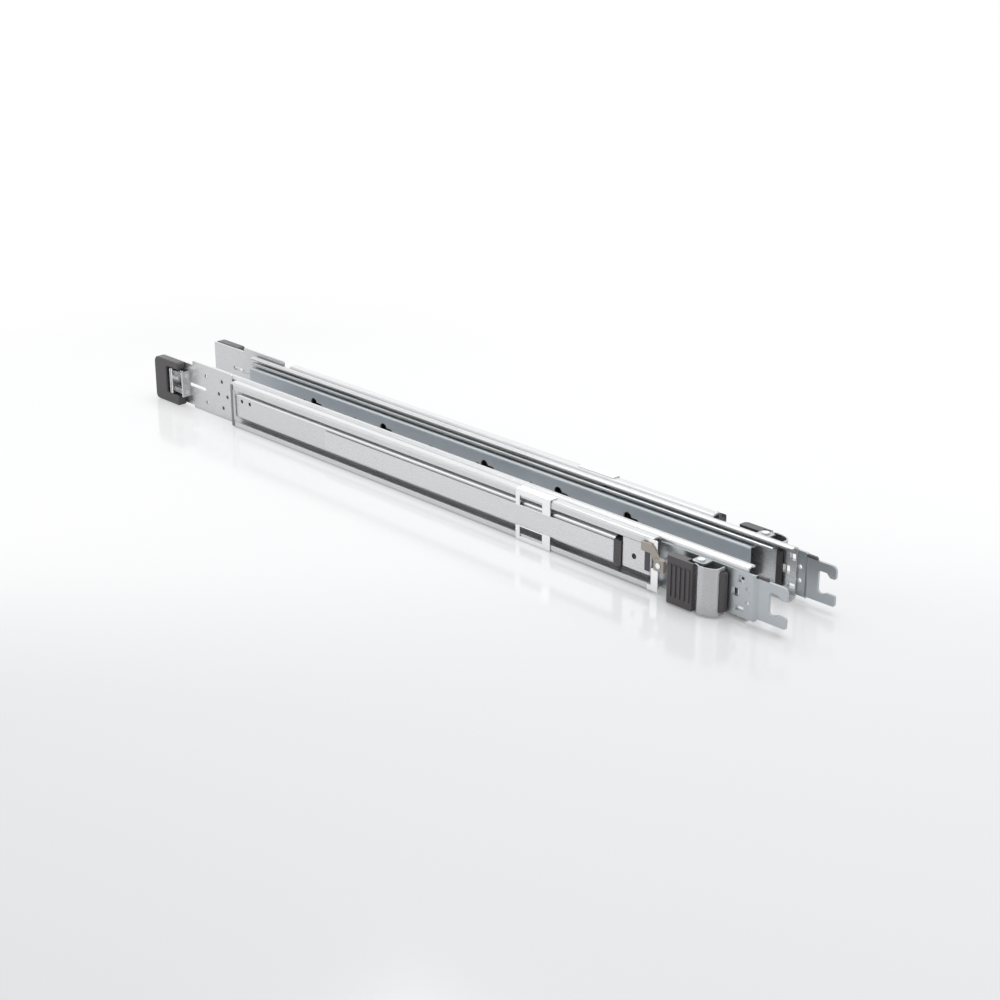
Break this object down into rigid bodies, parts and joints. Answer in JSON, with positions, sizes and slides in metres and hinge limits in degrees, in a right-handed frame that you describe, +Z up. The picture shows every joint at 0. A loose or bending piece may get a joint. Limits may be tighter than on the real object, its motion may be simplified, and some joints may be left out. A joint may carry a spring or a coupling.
{
  "type": "sliding server rail pair",
  "caption": "Pair of telescopic ball-bearing server rails with front hook brackets, swinging latches and sprung rear pins.",
  "frame": {"origin": "middle of the pair's bounding box, on the surface that it stands on", "axes": "+X along the rails to the front hooks, +Y towards the right rail, +Z up"},
  "size_m": [0.741, 0.0916, 0.045],
  "materials": {
    "zinc_plated_steel": "satin zinc plating",
    "grey_steel": "satin, slightly bluish grey",
    "bright_steel": "bright",
    "cage_steel": "satin",
    "bearing_steel": "polished",
    "rivet_steel": "satin",
    "spring_steel": "bright",
    "dark_plastic": "matte",
    "beige_plastic": "matte",
    "rubber": "matte"
  },
  "bodies": {
    "fixed_rails": {"left_outer_member": "zinc_plated_steel", "left_support_channel": "zinc_plated_steel", "left_channel_rivets": "rivet_steel", "left_guide_strip": "zinc_plated_steel", "left_strip_rivets": "rivet_steel", "left_guide_clips": "bright_steel", "left_stop_block": "dark_plastic", "left_latch_base": "zinc_plated_steel", "left_front_bracket": "grey_steel", "left_latch_pivot": "rivet_steel", "left_latch_spring": "spring_steel", "left_lock_pivot": "rivet_steel", "left_rear_bumper": "rubber", "right_outer_member": "zinc_plated_steel", "right_support_channel": "zinc_plated_steel", "right_channel_rivets": "rivet_steel", "right_guide_strip": "zinc_plated_steel", "right_strip_rivets": "rivet_steel", "right_guide_clips": "bright_steel", "right_stop_block": "dark_plastic", "right_latch_base": "zinc_plated_steel", "right_front_bracket": "grey_steel", "right_latch_pivot": "rivet_steel", "right_latch_spring": "spring_steel", "right_lock_pivot": "rivet_steel", "right_rear_bumper": "rubber"},
    "left_middle": {"left_middle_member": "zinc_plated_steel", "left_front_bumper": "rubber"},
    "left_inner": {"left_inner_member": "grey_steel"},
    "left_outer_retainer": {"left_outer_cage": "cage_steel", "left_outer_balls": "bearing_steel"},
    "left_inner_retainer": {"left_inner_cage": "cage_steel", "left_inner_balls": "bearing_steel"},
    "left_extension": {"left_extension_bracket": "zinc_plated_steel", "left_rear_guard": "dark_plastic", "left_pin_springs": "spring_steel"},
    "left_pins": {"left_rear_pins": "bearing_steel", "left_pin_yoke": "grey_steel"},
    "left_latch": {"left_latch_leaf": "bright_steel", "left_latch_grip": "dark_plastic", "left_latch_claw": "dark_plastic"},
    "left_lock": {"left_lock_lever": "beige_plastic"},
    "right_middle": {"right_middle_member": "zinc_plated_steel", "right_front_bumper": "rubber"},
    "right_inner": {"right_inner_member": "grey_steel"},
    "right_outer_retainer": {"right_outer_cage": "cage_steel", "right_outer_balls": "bearing_steel"},
    "right_inner_retainer": {"right_inner_cage": "cage_steel", "right_inner_balls": "bearing_steel"},
    "right_extension": {"right_extension_bracket": "zinc_plated_steel", "right_rear_guard": "dark_plastic", "right_pin_springs": "spring_steel"},
    "right_pins": {"right_rear_pins": "bearing_steel", "right_pin_yoke": "grey_steel"},
    "right_latch": {"right_latch_leaf": "bright_steel", "right_latch_grip": "dark_plastic", "right_latch_claw": "dark_plastic"},
    "right_lock": {"right_lock_lever": "beige_plastic"}
  },
  "joints": [
    {"name": "left_middle_slide", "type": "slide", "parent": "fixed_rails", "child": "left_middle", "axis": [1, 0, 0], "range_m": [0, 0.29]},
    {"name": "left_inner_slide", "type": "slide", "parent": "left_middle", "child": "left_inner", "axis": [1, 0, 0], "range_m": [0, 0.29]},
    {"name": "left_outer_retainer_slide", "type": "slide", "parent": "fixed_rails", "child": "left_outer_retainer", "axis": [1, 0, 0], "range_m": [0, 0.145]},
    {"name": "left_inner_retainer_slide", "type": "slide", "parent": "left_middle", "child": "left_inner_retainer", "axis": [1, 0, 0], "range_m": [0, 0.145]},
    {"name": "left_extension_slide", "type": "slide", "parent": "fixed_rails", "child": "left_extension", "axis": [-1, 0, 0], "range_m": [0, 0.2]},
    {"name": "left_pin_travel", "type": "slide", "parent": "left_extension", "child": "left_pins", "axis": [1, 0, 0], "range_m": [0, 0.005], "stiffness_N_per_m": 1500, "deforming": ["left_pin_springs"]},
    {"name": "left_latch_swing", "type": "hinge", "parent": "fixed_rails", "child": "left_latch", "pos_m": [0.299, -0.036, 0.021], "axis": [0, 0, -1], "range_deg": [0, 10], "stiffness_Nm_per_rad": 0.6, "deforming": ["left_latch_spring"]},
    {"name": "left_lock_swing", "type": "hinge", "parent": "fixed_rails", "child": "left_lock", "pos_m": [0.263, -0.038, 0.0245], "axis": [0, 1, 0], "range_deg": [0, 8], "stiffness_Nm_per_rad": 0.2},
    {"name": "right_middle_slide", "type": "slide", "parent": "fixed_rails", "child": "right_middle", "axis": [1, 0, 0], "range_m": [0, 0.29]},
    {"name": "right_inner_slide", "type": "slide", "parent": "right_middle", "child": "right_inner", "axis": [1, 0, 0], "range_m": [0, 0.29]},
    {"name": "right_outer_retainer_slide", "type": "slide", "parent": "fixed_rails", "child": "right_outer_retainer", "axis": [1, 0, 0], "range_m": [0, 0.145]},
    {"name": "right_inner_retainer_slide", "type": "slide", "parent": "right_middle", "child": "right_inner_retainer", "axis": [1, 0, 0], "range_m": [0, 0.145]},
    {"name": "right_extension_slide", "type": "slide", "parent": "fixed_rails", "child": "right_extension", "axis": [-1, 0, 0], "range_m": [0, 0.2]},
    {"name": "right_pin_travel", "type": "slide", "parent": "right_extension", "child": "right_pins", "axis": [1, 0, 0], "range_m": [0, 0.005], "stiffness_N_per_m": 1500, "deforming": ["right_pin_springs"]},
    {"name": "right_latch_swing", "type": "hinge", "parent": "fixed_rails", "child": "right_latch", "pos_m": [0.299, 0.036, 0.021], "axis": [0, 0, 1], "range_deg": [0, 10], "stiffness_Nm_per_rad": 0.6, "deforming": ["right_latch_spring"]},
    {"name": "right_lock_swing", "type": "hinge", "parent": "fixed_rails", "child": "right_lock", "pos_m": [0.263, 0.038, 0.0245], "axis": [0, 1, 0], "range_deg": [0, 8], "stiffness_Nm_per_rad": 0.2}
  ],
  "couplings": [
    {"joint": "left_outer_retainer_slide", "follows": "left_middle_slide", "ratio": 0.5},
    {"joint": "left_inner_retainer_slide", "follows": "left_inner_slide", "ratio": 0.5},
    {"joint": "right_outer_retainer_slide", "follows": "right_middle_slide", "ratio": 0.5},
    {"joint": "right_inner_retainer_slide", "follows": "right_inner_slide", "ratio": 0.5}
  ]
}
